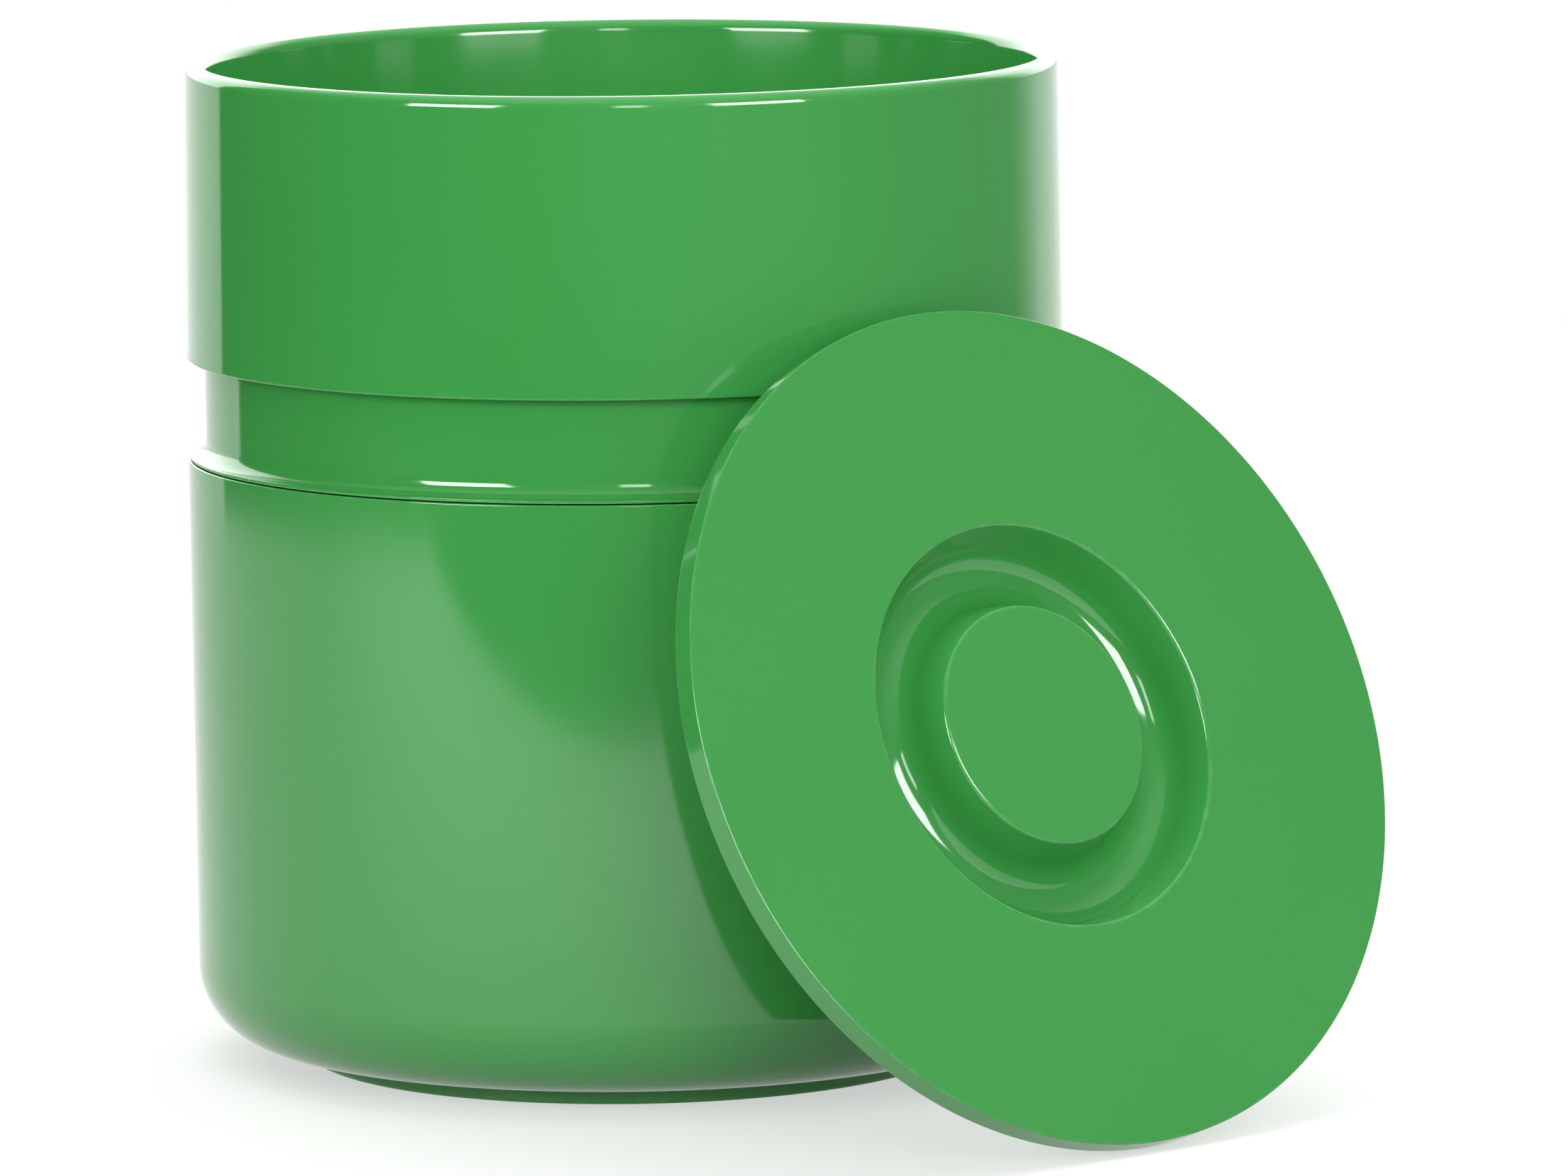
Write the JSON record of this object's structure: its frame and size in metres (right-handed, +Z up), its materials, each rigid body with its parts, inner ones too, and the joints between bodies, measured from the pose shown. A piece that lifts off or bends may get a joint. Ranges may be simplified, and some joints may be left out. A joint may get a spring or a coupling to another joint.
{
  "type": "insulated bucket with lid",
  "caption": "Round double-walled insulated bucket with a deep collar and a recessed neck, and a flat lift-off lid with a finger recess, leaning against it.",
  "frame": {"origin": "on the bucket's axis, at the middle of the flat base that it stands on", "axes": "+Z up along the bucket's axis; the lid leans on the collar between -Y and +X"},
  "size_m": [0.2433, 0.2523, 0.207],
  "materials": {
    "green_gloss": "gloss",
    "green_hidden": "satin",
    "foam": "matte"
  },
  "bodies": {
    "bucket": {"liner_collar": "green_gloss", "neck_ring": "green_gloss", "lower_shell": "green_gloss", "base_disc": "green_hidden", "foam_sleeve": "foam", "foam_pad": "foam"},
    "lid": {"lid_top": "green_gloss", "lid_underside": "green_hidden", "lid_foam": "foam"}
  },
  "joints": [
    {"name": "lid_lift", "type": "slide", "parent": "bucket", "child": "lid", "axis": [0.5803, -0.7141, 0.3915], "range_m": [0, 0.15]}
  ]
}
